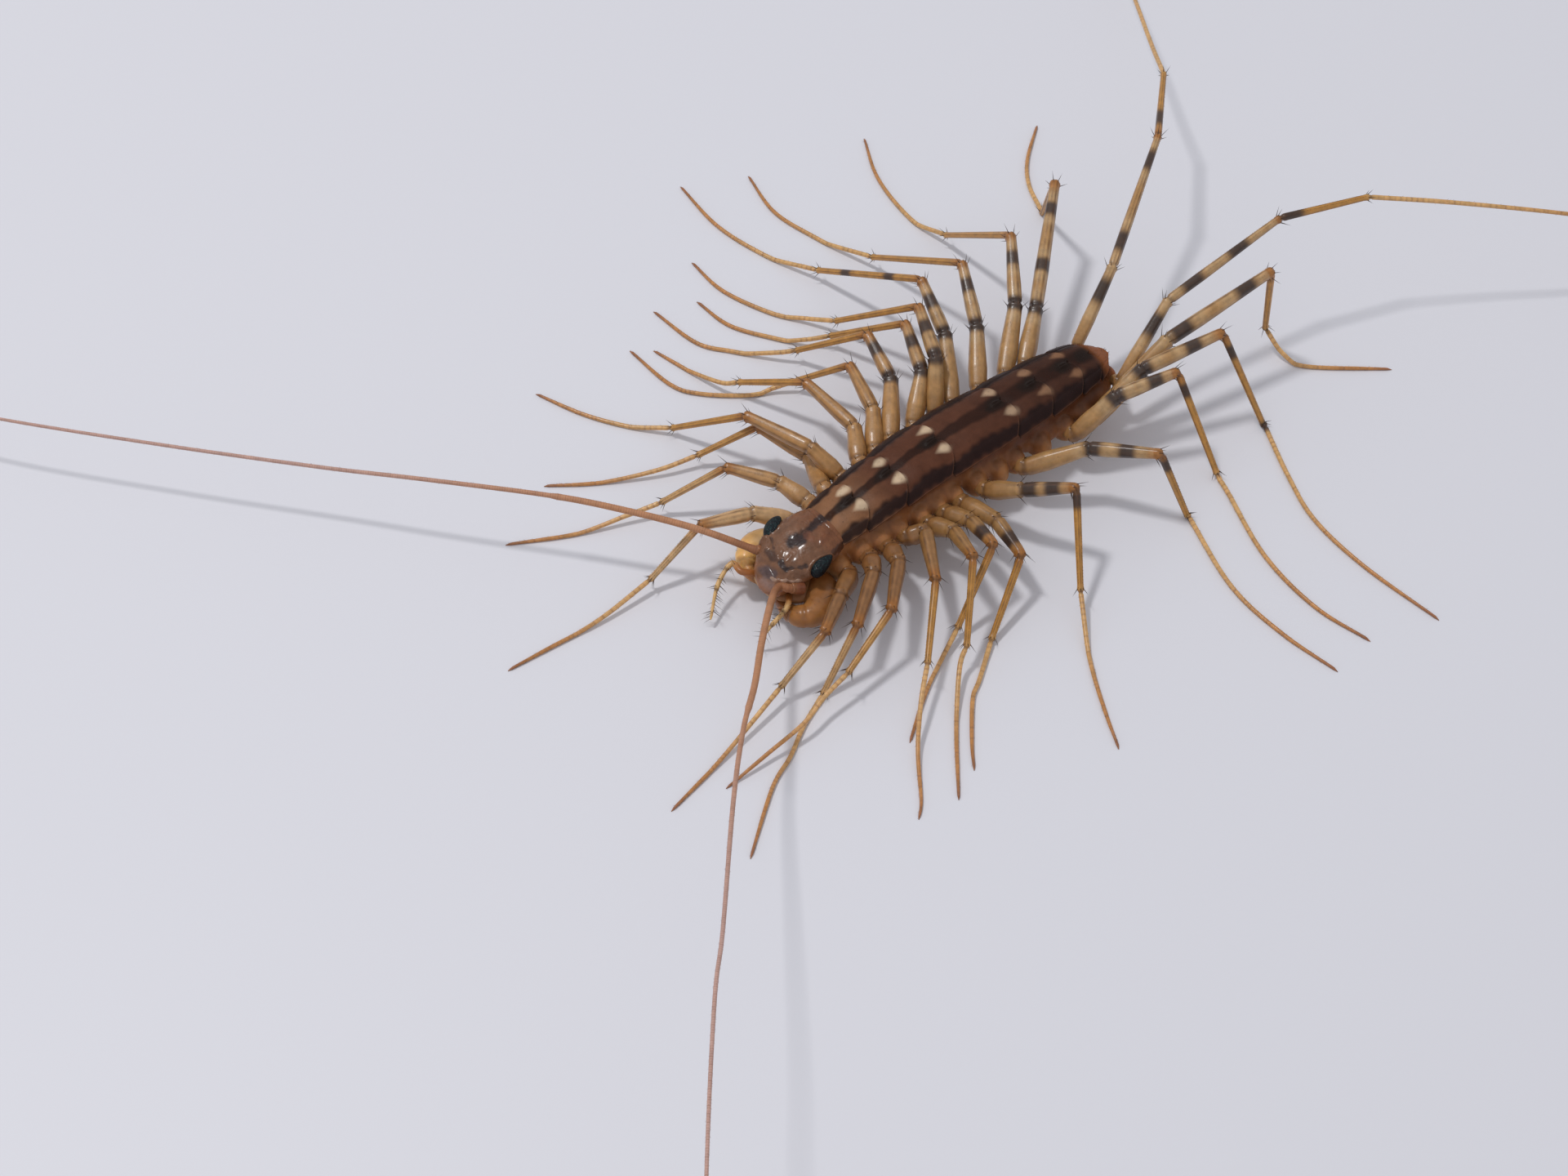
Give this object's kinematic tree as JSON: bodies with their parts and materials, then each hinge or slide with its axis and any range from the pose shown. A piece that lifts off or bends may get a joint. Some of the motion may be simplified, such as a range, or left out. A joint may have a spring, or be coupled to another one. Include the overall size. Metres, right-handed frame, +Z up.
{
  "type": "house centipede model",
  "caption": "Life-size still model of a house centipede, with plated back, long banded legs and long antennae, standing on a floor.",
  "frame": {"origin": "centre of the bounding box, on the floor that the feet stand on", "axes": "+Z up, the head points to -Y, the animal's left side is at +X"},
  "size_m": [0.0942, 0.1052, 0.0122],
  "materials": {
    "trunk": "satin brown with dark stripes",
    "head": "glossy amber brown with dark marks",
    "eye": "glossy, blue-black, faceted",
    "leg": "translucent amber with grey bands",
    "antenna": "fine ringed, reddish brown",
    "claw": "translucent amber"
  },
  "bodies": {
    "root": {"trunk_1": "trunk", "trunk_2": "trunk", "trunk_3": "trunk", "trunk_4": "trunk", "trunk_5": "trunk", "trunk_6": "trunk", "trunk_7": "trunk", "trunk_8": "trunk", "head": "head", "eye_right": "eye", "eye_left": "eye", "antenna_right": "antenna", "antenna_left": "antenna", "poison_claw_right": "claw", "poison_claw_left": "claw", "palp_right": "leg", "palp_left": "leg", "leg_right_01": "leg", "leg_right_02": "leg", "leg_right_03": "leg", "leg_right_04": "leg", "leg_right_05": "leg", "leg_right_06": "leg", "leg_right_07": "leg", "leg_right_08": "leg", "leg_right_09": "leg", "leg_right_10": "leg", "leg_right_11": "leg", "leg_right_12": "leg", "leg_right_13": "leg", "leg_right_15": "leg", "leg_left_01": "leg", "leg_left_02": "leg", "leg_left_03": "leg", "leg_left_04": "leg", "leg_left_05": "leg", "leg_left_06": "leg", "leg_left_07": "leg", "leg_left_08": "leg", "leg_left_10": "leg", "leg_left_12": "leg", "leg_left_13": "leg", "leg_left_14": "leg", "leg_left_15": "leg"}
  },
  "joints": []
}
